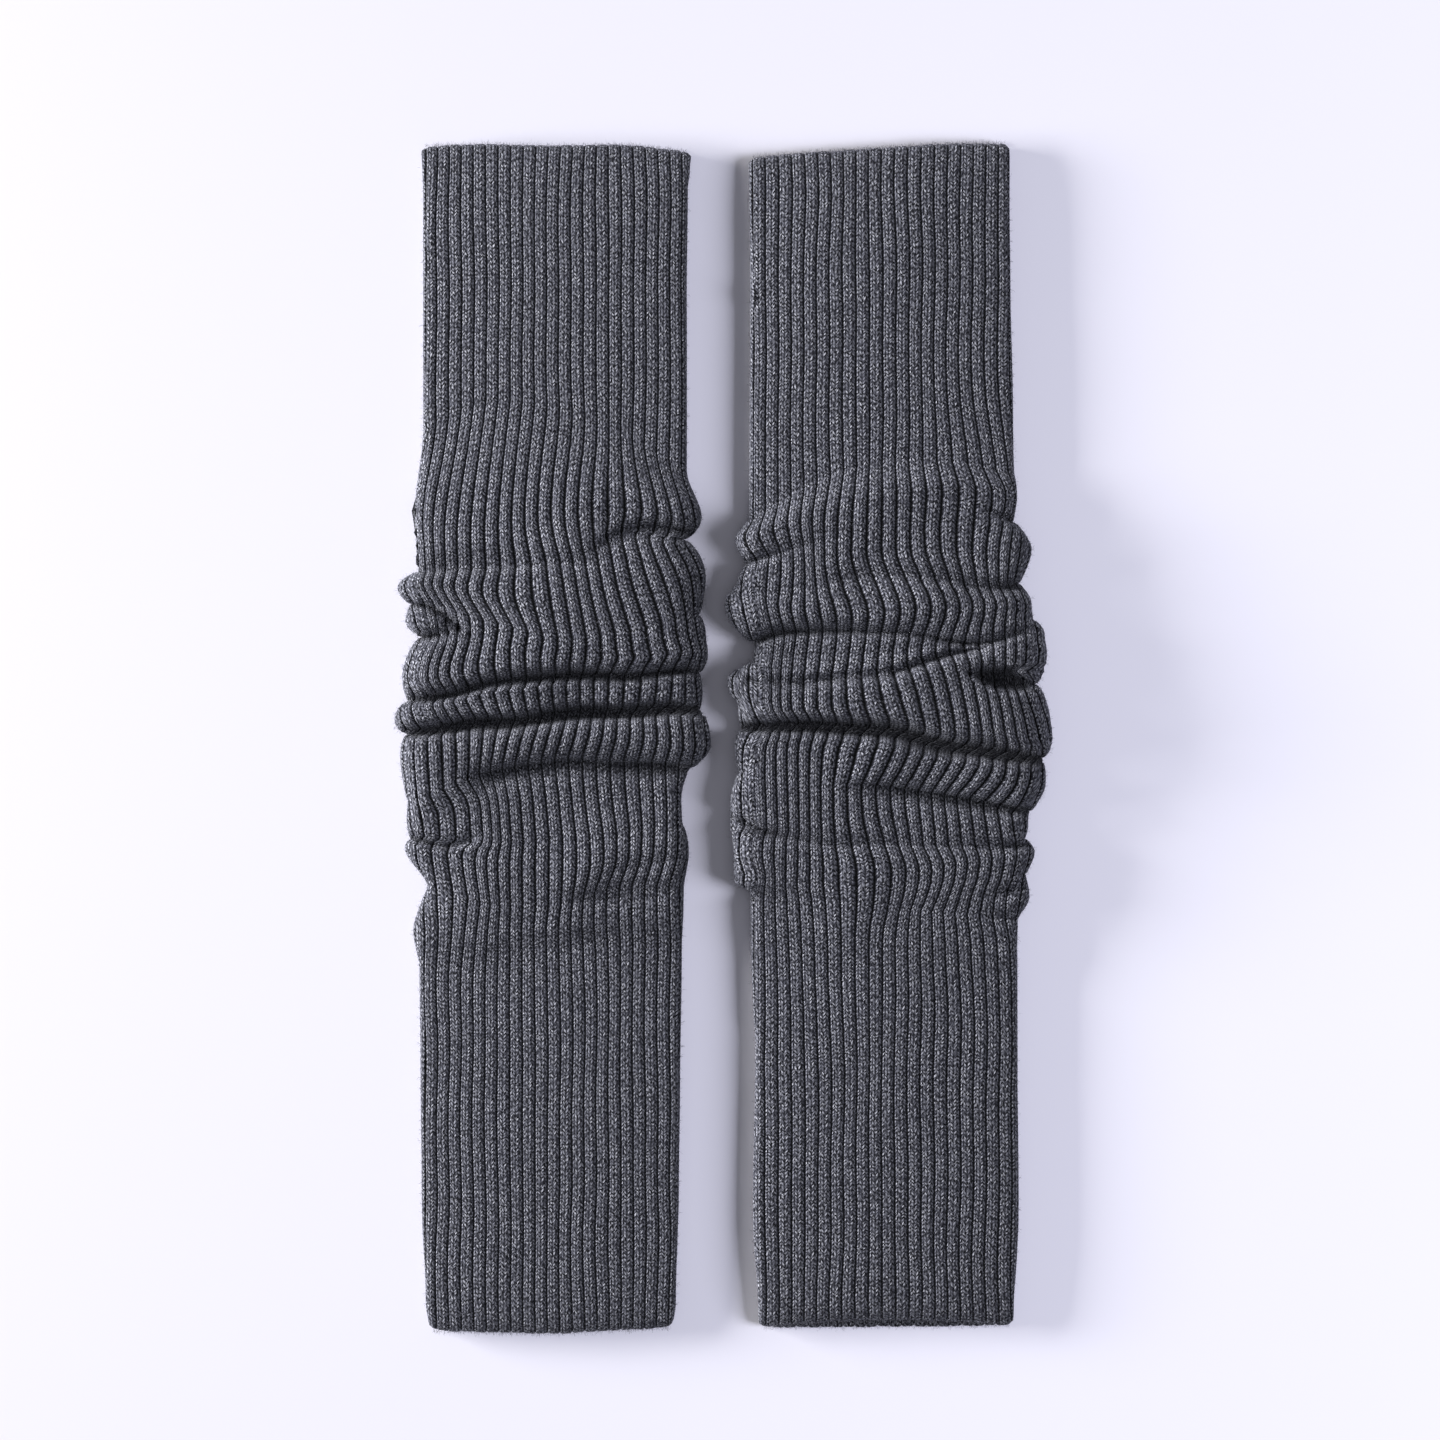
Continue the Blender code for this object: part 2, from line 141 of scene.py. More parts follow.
LEFT_CREASES = (
    drawn("under_lobe", 0.9, 0.3, (585, 558, 0, 8, 8), (600, 546, 1.5, 6, 8), (612, 537, 2.8, 5, 8), (625, 530, 4, 4.5, 8), (645, 527, 4.8, 4, 8), (665, 527, 5.4, 4, 7), (685, 531, 6.2, 3.5, 6), (700, 535, 7, 3, 5)),
    drawn("shelf", 0.0, 0.8, (405, 576, 4, 9, 2.5), (425, 574, 4, 9, 2.5), (450, 572, 3.6, 9, 2.5), (480, 570, 3, 9, 2.5), (510, 568, 2.5, 9, 2.5), (545, 566, 2, 8, 2.5), (580, 565, 1.4, 7, 2.5), (610, 563, 0.8, 6, 3), (650, 560, 0, 6, 3)),
    drawn("left_pit", 0.8, 0.8, (405, 605, 6, 2.4, 2.4), (428, 607, 6, 2.6, 3), (440, 612, 5.5, 3, 4), (452, 621, 6, 4, 4), (463, 630, 4.5, 5, 4), (478, 638, 1.5, 5, 5), (495, 642, 0, 5, 5)),
    drawn("left_notch", 0.8, 0.6, (405, 637, 7, 2.5, 4), (425, 637, 7, 2.5, 4), (440, 634, 5.5, 2.5, 4), (452, 630, 3, 2.5, 4), (462, 628, 0, 2.5, 4)),
    drawn("big_ridge_foot", 0.9, 0.8, (395, 700, 6, 4, 3), (430, 700, 6, 4, 3), (462, 693, 6.5, 4, 3), (482, 686, 7, 4, 3), (510, 681, 7, 4, 3), (540, 677, 7.2, 4, 3), (570, 676, 7.2, 4, 3), (600, 676, 7.2, 4, 3), (640, 675, 6.8, 4, 3), (690, 672, 6, 3.5, 3), (715, 672, 6, 3.5, 3), bottom=0.12),
    drawn("deep_crease", 1.0, 0.9, (395, 735, 6, 4, 3), (440, 729, 7.5, 4, 3.5), (480, 724, 8.5, 4.5, 4), (520, 721, 9, 4.5, 4), (560, 716, 9.5, 4.5, 4), (600, 713, 9.5, 4.5, 4), (640, 711, 9.5, 4.5, 4), (680, 710, 8, 4, 4), (715, 712, 6, 4, 4), bottom=0.22),
    drawn("low_ridge_foot", 0.9, 0.0, (460, 778, 0, 6, 8), (472, 776, 2, 6, 8), (485, 774, 4.5, 5, 9), (500, 770, 5, 4.5, 10), (520, 766, 5, 4, 10), (545, 764, 5, 4, 10), (575, 762, 5, 4, 9), (610, 762, 5, 4, 9), (640, 763, 5.5, 4, 9), (670, 766, 6, 4, 8), (695, 767, 6, 4, 8)),
    drawn("left_hook", 0.7, 0.9, (400, 834, 6, 3, 2.5), (412, 836, 6, 3, 2.5), (428, 841, 5, 4, 2.5), (445, 845, 4.4, 4, 2.5), (460, 845, 3.6, 5, 3), (475, 838, 2, 6, 4), (490, 830, 0, 6, 4)),
    drawn("soft_dent", 0.0, 0.0, (600, 868, 0, 5, 5), (632, 864, 1.2, 5, 5), (655, 862, 1.4, 5, 5), (680, 860, 1, 5, 5)),
    drawn("soft_trough", 0.1, 0.1, (540, 905, 0, 8, 6), (586, 898, 1.7, 7, 6), (612, 896, 1.9, 7, 6), (640, 893, 1.6, 7, 6), (690, 890, 1.6, 6, 5)),
    drawn("left_swell", 0.2, 0.2, (405, 885, 2, 5, 5), (425, 890, 1.6, 5, 5), (450, 900, 0.6, 6, 6), (470, 905, 0, 6, 6)),
)
RIGHT_CREASES = (
    drawn("left_tip", 0.7, 0.5, (735, 563, 5.5, 3, 4), (752, 562, 5, 3.5, 4), (775, 556, 2.4, 4, 5), (800, 548, 1.2, 5, 5), (830, 540, 0.9, 6, 6), (875, 534, 0, 6, 6)),
    drawn("right_nick", 0.6, 0.9, (972, 506, 0, 4, 3), (988, 512, 2.4, 4, 3), (1003, 519, 4, 4, 2.5), (1022, 528, 5, 3.5, 2.5)),
    drawn("soft_line", 0.1, 0.5, (740, 597, 1.4, 4, 4), (790, 593, 0.8, 5, 5), (830, 584, 1.2, 6, 5), (865, 578, 1.8, 6, 5), (900, 577, 2.2, 6, 5), (949, 582, 2.8, 6, 4), (985, 589, 4, 5, 3), (1010, 590, 5.5, 4, 3), (1032, 588, 6, 4, 3)),
    drawn("ridge_foot", 0.8, 0.6, (735, 645, 7, 4, 3), (755, 642, 6.5, 4, 3), (780, 633, 5.5, 4, 3), (820, 631, 5, 4, 4), (860, 631, 4.5, 4.5, 4), (900, 634, 4.2, 5, 4), (940, 639, 4.4, 5, 3), (967, 643, 5, 5, 3), (990, 642, 4.6, 4, 3), (1010, 636, 3.6, 3, 3), (1030, 629, 3, 3, 3), (1045, 626, 3, 3, 3)),
    drawn("band_foot", 0.5, 0.8, (730, 672, 5, 3, 3), (751, 681, 4.6, 3.4, 3), (805, 684, 4, 4, 3), (859, 677, 3.2, 4, 3), (902, 670, 3.6, 4, 2.5), (938, 658, 4.4, 3, 2.5), (963, 650, 5, 3, 2.5), (985, 647, 3, 3, 2.5), (1000, 646, 0, 3, 3)),
    drawn("pit", 1.0, 0.9, (958, 671, 0, 2, 2), (969, 673, 2.5, 2.5, 2.5), (981, 677, 7.5, 4.5, 3.5), (993, 680, 10.5, 6, 4), (1006, 682, 11, 6, 4), (1016, 683, 9.5, 4.5, 3.5), (1025, 684, 5.5, 3, 2.5), (1034, 684, 3.6, 2.5, 2.5), (1048, 684, 3.4, 2.5, 2.5), bottom=0.4),
    drawn("deep_crease", 1.0, 0.9, (735, 727, 7, 3.5, 3), (760, 727, 9, 4, 3), (800, 726, 9.2, 4, 3), (840, 727, 9.4, 5, 3), (870, 730, 9.8, 6, 3.5), (900, 736, 9.8, 7, 4), (940, 745, 9.4, 7, 4), (980, 752, 9, 7, 4), (1010, 757, 8.5, 6, 4), (1055, 760, 7.5, 4, 4), bottom=0.22),
    drawn("low_edge", 0.9, 0.0, (832, 779, 0, 5, 8), (855, 784, 2.5, 5, 8), (880, 787, 4.2, 4, 9), (915, 790, 5, 4, 9), (950, 796, 5.4, 4, 8), (985, 803, 5.8, 4, 7), (1010, 808, 6.2, 4, 5), (1045, 811, 7, 4, 4)),
    drawn("low_trough", 0.5, 0.7, (728, 816, 6, 3, 3), (745, 822, 5.5, 3, 3), (765, 832, 4.4, 4, 3), (790, 838, 3.4, 5, 3), (826, 843, 2.8, 6, 4), (870, 845, 2.2, 6, 4), (920, 845, 2, 6, 4), (970, 846, 2.2, 6, 4), (1005, 846, 3.8, 4, 3), (1032, 844, 6, 3, 3)),
    drawn("left_edge_below", 0.8, 0.2, (733, 893, 4.4, 4, 5), (757, 893, 3.8, 4, 6), (785, 900, 2.6, 5, 8), (810, 910, 1.2, 6, 8), (838, 915, 0, 6, 8)),
    drawn("right_pinch", 0.5, 0.6, (980, 894, 0, 4, 4), (1003, 892, 2.6, 4, 3), (1018, 885, 4.4, 3, 3), (1032, 881, 5, 3, 3)),
    drawn("right_end", 0.6, 0.2, (975, 914, 0, 4, 5), (1000, 916, 1.6, 4, 5), (1025, 919, 3.2, 4, 4)),
)

# How far the ribs lie to the right of where they run on the flat leg, in grid steps, at seven even places
# across the tube: just below a fold's crease, on its crest, and just above the next crease.
LEFT_FLOW = dict(
    rise=((0, 0, 0, 0, 0, 0, 0), (-13, -15, -10, -8, -3, 11, 15), (-7, -16, -9, 0, -2, 7, 14)),
    first_valley=((-7, -16, -9, 0, -2, 2, 5), (-8, -18, -12, 5, 8, 18, 24), (0, -4, 3, 13, 21, 29, 26)),
    left_trough=((0, -4, 3, 13, 21, 29, 26), (6, -2, 2, 13, 22, 30, 28), (8, -3, 0, 12, 23, 33, 31)),
    left_pinch=((8, -3, 0, 12, 23, 33, 31), (-4, -10, 0, 11, 24, 35, 34), (8, 0, 2, 10, 15, 26, 28)),
    big_ridge_foot=((0, -8, -3, 6, 14, 26, 28), (5, -2, 1, 7, 13, 26, 32), (12, 5, 6, 8, 11, 24, 38)),
    deep_crease=((-10, -5, 2, 6, 8, 10, 12), (-12, -4, -3, 1, 6, 12, 17), (-8, -4, -8, -5, 0, 6, 11)),
    low_ridge_foot=((-8, -4, -8, -5, 0, 6, 11), (-3, 8, -1, 0, 2, 7, 12), (0, 11, 3, 4, 6, 9, 13)),
    left_lobe=((-8, 5, 2, 4, 6, 9, 13), (-10, 1, 0, 3, 6, 8, 12), (-8, 6, 1, 2, -2, 0, 0)),
    soft_trough=((-8, 6, 1, 2, -2, 0, 0), (0, 3, 0, 0, -2, -1, 0), (0, 0, 0, 0, 0, 0, 0)),
)
RIGHT_FLOW = dict(
    upper_leg=((0, 0, 0, 0, 0, 0, 0), (0, 0, 0, 0, 0, 0, 0), (0, 0, 0, 0, 3, 9, 8)),
    rise=((0, 0, 0, 0, 3, 9, 8), (-9, -4, -7, 0, 8, 19, 18), (5, 2, -7, -1, 4, 16, 14)),
    tip_crease=((5, 2, -7, -1, 4, 16, 14), (2, 3, -6, -1, 5, 12, 8), (2, 2, -1, 9, 13, 14, 2)),
    soft_line=((2, 2, -1, 9, 13, 14, 2), (5, 0, 5, 17, 25, 22, 15), (14, 5, 6, 13, 17, 20, 14)),
    band_top=((14, 5, 6, 13, 17, 20, 14), (14, 2, 4, 11, 15, 20, 14), (12, 0, 2, 10, 14, 20, 14)),
    band_foot=((12, 0, 1, 10, 15, 20, 14), (13, -1, 2, 14, 19, 20, 14), (12, -1, 3, 17, 23, 22, 10)),
    pit=((12, -1, 3, 17, 23, 22, 10), (16, 1, 5, 21, 30, 30, 30), (25, 10, 11, 28, 32, 34, 34)),
    deep_crease=((13, 0, 2, 15, 18, 20, 20), (5, -5, -7, 9, 12, 15, 18), (2, -5, -11, -6, -2, -2, 6)),
    right_crease=((2, -5, -11, -6, -2, -2, 0), (3, -4, -10, -5, -1, 0, 1), (5, -3, -8, 1, 1, 2, 3)),
    low_trough=((1, -5, -8, 1, 1, 2, 3), (-1, -5, -6, 7, 9, 6, 3), (5, -5, -6, 7, 9, 4, -1)),
    right_pinch=((5, -5, -6, 7, 9, 4, -1), (5, -5, -6, 6, 5, -2, -8), (2, -4, -5, 4, -1, -6, -8)),
    settle=((2, -4, -5, 4, -1, -6, -8), (0, -3, -4, 0, 0, -2, -3), (0, -1, -2, 0, 0, 0, 0)),
    calm=((0, -1, -2, 0, 0, 0, 0), (0, 0, 0, 0, 0, 0, 0), (0, 0, 0, 0, 0, 0, 0)),
)

# Each tube: node, tables, side edges, ribs all round, how much shorter the upper layer is at the lower hem,
# and a number that makes its unevenness its own
TUBES = (
    dict(node="calf_sock_left", rows=LEFT, creases=LEFT_CREASES, flow=LEFT_FLOW, edges=LEFT_EDGES, ribs=44, short=0.0, seed=1.0),
    dict(node="calf_sock_right", rows=RIGHT, creases=RIGHT_CREASES, flow=RIGHT_FLOW, edges=RIGHT_EDGES, ribs=42, short=3.0, seed=2.3),
)


def across(values, u):
    """Smooth curve through evenly spaced values, at u from -1 (left edge) to 1 (right edge)."""
    v = np.asarray(values, float)
    spans = len(v) - 1
    at = np.clip((u + 1) / 2 * spans, 0, spans)
    i = np.minimum(at.astype(int), spans - 1)
    f = at - i
    a, b = v[i], v[i + 1]
    slope_a = np.where(i > 0, (b - v[np.maximum(i - 1, 0)]) / 2, b - a)
    slope_b = np.where(i + 2 <= spans, (v[np.minimum(i + 2, spans)] - a) / 2, b - a)
    return (
        a * (1 + 2 * f) * (1 - f) ** 2
        + slope_a * f * (1 - f) ** 2
        + b * f * f * (3 - 2 * f)
        - slope_b * f * f * (1 - f)
    )


def wander(x, y, size, seed):
    """Smooth unevenness from -1 to 1 over the plane, with bumps about size millimetres long."""
    k = 2 * math.pi / size
    return (
        np.sin(k * (0.62 * x + 0.35 * y) + 3.1 * seed + 1.3 * np.sin(k * 0.41 * y + seed))
        + np.sin(k * (-0.31 * x + 0.73 * y) + 5.7 * seed + 1.1 * np.sin(k * 0.53 * x + 2 * seed))
        + np.sin(k * (0.87 * x - 0.22 * y) + 1.9 * seed)
    ) / 3


def climb(turn, sharp):
    """Share of the way from crease to crest, in run and in rise, at a turn from 0 to 1."""
    tight = min(1.0, 1.6 * sharp)
    run = tight * (1 - math.cos(turn * math.pi / 2)) + (1 - tight) * turn
    bead = math.sqrt(max(0.0, 1 - (1 - run) ** 2))
    soft = (1 - math.cos(run * math.pi)) / 2
    return run, sharp * bead + (1 - sharp) * soft


def stations(rows):
    """Every row of points: the fold whose crease and the one whose crest it lies between, the shares of the
    way along, up and out at the sides, and the share of the way through the fold that owns the crest."""
    out = []
    for k in range(len(rows) - 1):
        this, after = rows[k], rows[k + 1]
        plain = max(this["top"]) <= FLAT + 0.01
        for low, falling in ((this, False), (after, True)):
            reach = np.abs(np.subtract(low["crease"], this["crest"])).mean()
            even = plain and low["sharp"] == 0
            n = max(3, int(round(reach / (FLAT_ROWS if even else FOLD_ROWS))))
            # a crease with no height of its own lies halfway between the two tops beside it
            beside = (this["top"], after["top"] or this["top"]) if falling else (rows[max(k - 1, 0)]["top"], this["top"])
            k_other = k - 1 if not falling else k + 1
            other = rows[k_other]["name"] if 0 <= k_other < len(rows) - 1 else ""
            for i in range(n):
                run, swell = climb(1 - i / n if falling else i / n, low["sharp"])
                rise = swell if low["floor"] else (1 - math.cos(run * math.pi)) / 2
                through = 1 - run / 2 if falling else run / 2
                inner = i % max(2, n // 2) == 0 and i <= n - 2
                out.append(dict(low=low, high=this, beside=beside, run=run, rise=rise, swell=swell, through=through, inner=inner, reach=reach, other=other))
    out.append(dict(low=rows[-1], high=rows[-2], beside=None, run=0.0, rise=0.0, swell=0.0, through=1.0, inner=True, reach=1.0, other=""))
    out[0]["inner"] = True
    return out


LINE_X = np.arange(-140.0, 140.01, 0.5)


def evened(values, window):
    kernel = np.hanning(window + 2)[1:-1]
    padded = np.pad(values, window // 2, mode="edge")
    return np.convolve(padded, kernel / kernel.sum(), "valid")


def crease_lines(creases):
    """Each drawn crease as smooth curves over X: its Y, depth and flank widths, all in millimetres."""
    out = []
    for crease in creases:
        p = np.array(crease["path"], float)
        x = (p[:, 0] - GRID_X) * GRID
        y = (GRID_Y - p[:, 1]) * GRID
        out.append((crease, *(evened(np.interp(LINE_X, x, v), 15) for v in (y, p[:, 2], p[:, 3], p[:, 4]))))
    return out


def drop(lines, x, y):
    """How far the drawn creases lower the cloth at a place."""
    total = np.zeros(np.broadcast(x, y).shape)
    for crease, line_y, depth, above, below in lines:
        away = y - np.interp(x, LINE_X, line_y)
        up = away >= 0
        deep = np.interp(x, LINE_X, depth)
        core = CORE * np.clip(deep - 2, 0, 8)
        width = np.where(up, np.interp(x, LINE_X, above), np.interp(x, LINE_X, below))
        s = np.clip((np.abs(away) - core - crease["bottom"] * width) / ((1 - crease["bottom"]) * width), 0, 1)
        tight = np.where(up, crease["above"], crease["below"])
        shape = tight * (1 - np.sqrt(1 - (1 - s) ** 2)) + (1 - tight) * (1 + np.cos(np.pi * s)) / 2
        total += (deep * shape) ** 3
    return np.cbrt(total)


RIM = np.radians(np.linspace(0, 90, 10))
SPREAD = 90


ROUND_SIDES = np.ones(2 * len(RIM) + SPREAD - 3)
ROUND_SIDES[len(RIM) : -len(RIM)] = 0.0  # a rib counts its length down the side edge, but not down the folds


def layer(radius, half_width):
    """Places across one layer, as u from -1 to 1, with the share of the rise off the edge line."""
    left, right = (r * (1 - np.cos(RIM)) / half_width for r in radius)
    even = np.linspace(-1 + left[-1], 1 - right[-1], SPREAD)[1:-1]
    u = np.concatenate([-1 + left, even, 1 - right[::-1]])
    share = np.concatenate([np.sin(RIM), np.ones(len(even)), np.sin(RIM)[::-1]])
    return u, share


def smooth_tube(tube):
    """Rows of points on the cloth's outer face without its ribs, in millimetres, and each point's rib place."""
    rows, edges, seed = tube["rows"], tube["edges"], tube["seed"]
    half = (edges[1] - edges[0]) / 2
    ribs = tube["ribs"]
    front_ribs = ribs / 2
    lines = crease_lines(tube["creases"])
    index = np.repeat(np.arange(ribs), len(RIB_PLACE))
    place = index + np.tile(RIB_PLACE, ribs)
    open_place = index + np.tile(OPEN_PLACE, ribs)
    still = ((0,) * 7,) * 3
    surface = []
    list_of = stations(rows)
    y_top, y_low = rows[0]["crease"][2], rows[-1]["crease"][2]
    for n, s in enumerate(list_of):
        low, high, run, rise = s["low"], s["high"], s["run"], s["rise"]
        side = [low["pinch"][i] + (high["tip"][i] - low["pinch"][i]) * s["swell"] for i in (0, 1)]

        def along(x):
            u = np.clip((x - edges[0]) / half - 1, -1, 1)
            start = across(low["crease"], u)
            return start + (across(high["crest"], u) - start) * run

        def plain_height(u):
            foot = across(low["floor"], u) if low["floor"] else (across(s["beside"][0], u) + across(s["beside"][1], u)) / 2
            return foot + (across(high["top"], u) - foot) * rise

        def across_x(u):
            return (
                edges[0] + half * (u + 1)
                + (side[0] - edges[0]) * ((1 - u) / 2) ** EDGE_FALLOFF
                + (side[1] - edges[1]) * ((1 + u) / 2) ** EDGE_FALLOFF
            )

        def height(u):
            plain = plain_height(u)
            loose = np.clip((plain - FLAT) / 4, 0, 1)
            dome = DOME * (1 - u * u) ** 0.8 * np.clip((9 - plain) / 4, 0.25, 1)
            lumps = (0.16 + 0.5 * loose) * wander(across_x(u), along(across_x(u)), 34, seed) * (1 - u * u)
            z = plain + dome + lumps - drop(lines, across_x(u), along(across_x(u)))
            return np.where(z < LOWEST + 1, LOWEST + np.exp(np.minimum(z - LOWEST - 1, 0)), z)

        ends = np.array([-1.0, 1.0])
        extra = height(ends) - FLAT
        loose = float(np.clip((np.mean(plain_height(ends)) - FLAT) / 4, 0, 1))
        from_hem = min(y_top - float(along(np.array(edges[0] + half))), float(along(np.array(edges[0] + half))) - y_low)
        pressed = 1 - HEM_PRESSED * math.exp(-max(from_hem, 0.0) / 9)

        def rim(u):
            return EDGE_RADIUS + EDGE_LIFT * (extra[0] + (extra[1] - extra[0]) * (u + 1) / 2)

        w, share = layer(np.maximum(EDGE_RADIUS + FRONT_ROUNDING * extra, 1.2), half)
        fx, fz = across_x(w), (rim(w) + (height(w) - rim(w)) * share) * pressed
        v, share = layer(np.maximum(EDGE_RADIUS + BACK_ROUNDING * extra, 1.0), half)
        lift = UNDER_CREASE * (1 - rise) ** 4 * loose
        bx = across_x(v)[::-1]
        bz = (rim(v) * (1 - share) + lift * share)[::-1] * pressed
        bv = v[::-1]
        front = np.concatenate([[0], np.cumsum(np.hypot(np.diff(fx), np.diff(fz) * ROUND_SIDES))])
        back = np.concatenate([[0], np.cumsum(np.hypot(np.diff(bx), np.diff(bz) * ROUND_SIDES))])

        # where each rib lies on this row: its place on the flat leg, plus the flow of the ribs on the fold;
        # close to a crease the flow of the two folds beside it is shared
        flow = tube["flow"].get(high["name"], still)
        moved = np.array([float(across([part[i] for part in flow], 2 * s["through"] - 1)) for i in range(7)])
        beside = tube["flow"].get(s["other"], still)
        mine, theirs = (flow[0], beside[2]) if s["through"] < 0.5 else (flow[2], beside[0])
        near = max(0.0, 1 - run * s["reach"] / SHARED)
        moved = moved + near * (np.array(theirs) - np.array(mine)) / 2
        whole = front[-1] + back[-1]
        flat_end = EDGE_RADIUS * (math.pi / 2 - 1)  # how much longer a flat edge is round its side than across it
        first = fx[len(RIM)] - front[len(RIM)]  # X of the left edge line, with its rounding rolled out flat
        open_now = np.clip((np.interp(open_place / front_ribs, np.linspace(0, 1, len(fz)), fz) - 7.5) / 5, 0, 1)
        open_now = np.where(open_place < front_ribs, open_now, 0) * loose
        t = place + (open_place - place) * open_now + 0.45
        t = t + 0.13 * wander(t * 4.7, np.full_like(t, along(np.array(edges[0] + half))), 42, seed + 4)

        def rolled_out(part):
            flat_x = edges[0] - flat_end + part * (2 * half + 2 * flat_end)
            return flat_x + across(moved, part * 2 - 1) * GRID - first

        ends_at = rolled_out(np.array([0.0, 1.0]))
        part = t / front_ribs
        ahead = rolled_out(np.clip(part, 0, 1))
        behind = ends_at[1] + (part - 1) * (whole + ends_at[0] - ends_at[1])
        length = np.mod(np.where(part > 1, behind, ahead), whole)
        on = length < front[-1]
        f = np.clip(length, 0, front[-1])
        b = np.clip(length - front[-1], 0, back[-1])
        x = np.where(on, np.interp(f, front, fx), np.interp(b, back, bx))
        z = np.where(on, np.interp(f, front, fz), np.interp(b, back, bz))
        u = np.where(on, np.interp(f, front, w), np.interp(b, back, bv))
        y = along(x)
        if n >= len(list_of) - 2:
            y = y + np.where(on, tube["short"] * (1 - u * u), 0) * (1.0 if n == len(list_of) - 1 else 0.6)
        surface.append(np.stack([x, y, z, open_now], 1))
    surface = np.array(surface)
    grid, opened = surface[..., :3], surface[..., 3]
    # a slight waver of the whole cloth, which fades towards the hems
    fade = np.clip(np.minimum(y_top - grid[..., 1], grid[..., 1] - y_low) / 30, 0, 1)
    gathered = np.exp(-((grid[..., 1] - 5) / 75) ** 4)
    # painted shade: how far the colour is darkened deep in the drawn creases and, on the gathers, in hollows lower than
    # the cloth around them, standing in for the shade of the folds over them
    painted_shade_share = np.clip((drop(lines, grid[..., 0], grid[..., 1]) - 3.2) / 5.5, 0, 1) * (grid[..., 2] > EDGE_RADIUS)
    around_it = grid[..., 2].copy()
    for step in (1, 2, 4, 6):
        padded = np.pad(around_it, ((step, step), (0, 0)), mode="edge")
        around_it = (padded[: -2 * step] + around_it + padded[2 * step :]) / 3
        around_it = (np.roll(around_it, step, 1) + around_it + np.roll(around_it, -step, 1)) / 3
    hollow = np.clip((around_it - grid[..., 2] - 0.15) / 2.6, 0, 1) * (grid[..., 2] > EDGE_RADIUS + 1)
    painted_shade_share = np.clip(painted_shade_share + 0.42 * hollow * gathered, 0, 1)
    grid[..., 1] += fade * (0.15 + 0.5 * gathered) * wander(grid[..., 0], grid[..., 1], 30, seed + 2)
    return grid, opened, painted_shade_share, place, list_of


def unit(v):
    return v / np.maximum(np.linalg.norm(v, axis=-1, keepdims=True), 1e-9)


def normals_of(grid):
    """Outward unit normals of a grid of rows that close round."""
    step = np.empty_like(grid)
    step[1:-1] = grid[2:] - grid[:-2]
    step[2:-2] += grid[4:] - grid[:-4]
    step[0], step[-1] = grid[1] - grid[0], grid[-1] - grid[-2]
    step = unit(step)
    around = unit(np.roll(grid, -1, 1) - grid) + unit(grid - np.roll(grid, 1, 1))
    normal = unit(np.cross(step, around))
    # a rib's narrow spacing makes single normals noisy, so each is shared with its neighbours
    for _ in range(2):
        normal = unit(normal * 2 + np.roll(normal, 1, 1) + np.roll(normal, -1, 1))
    return normal


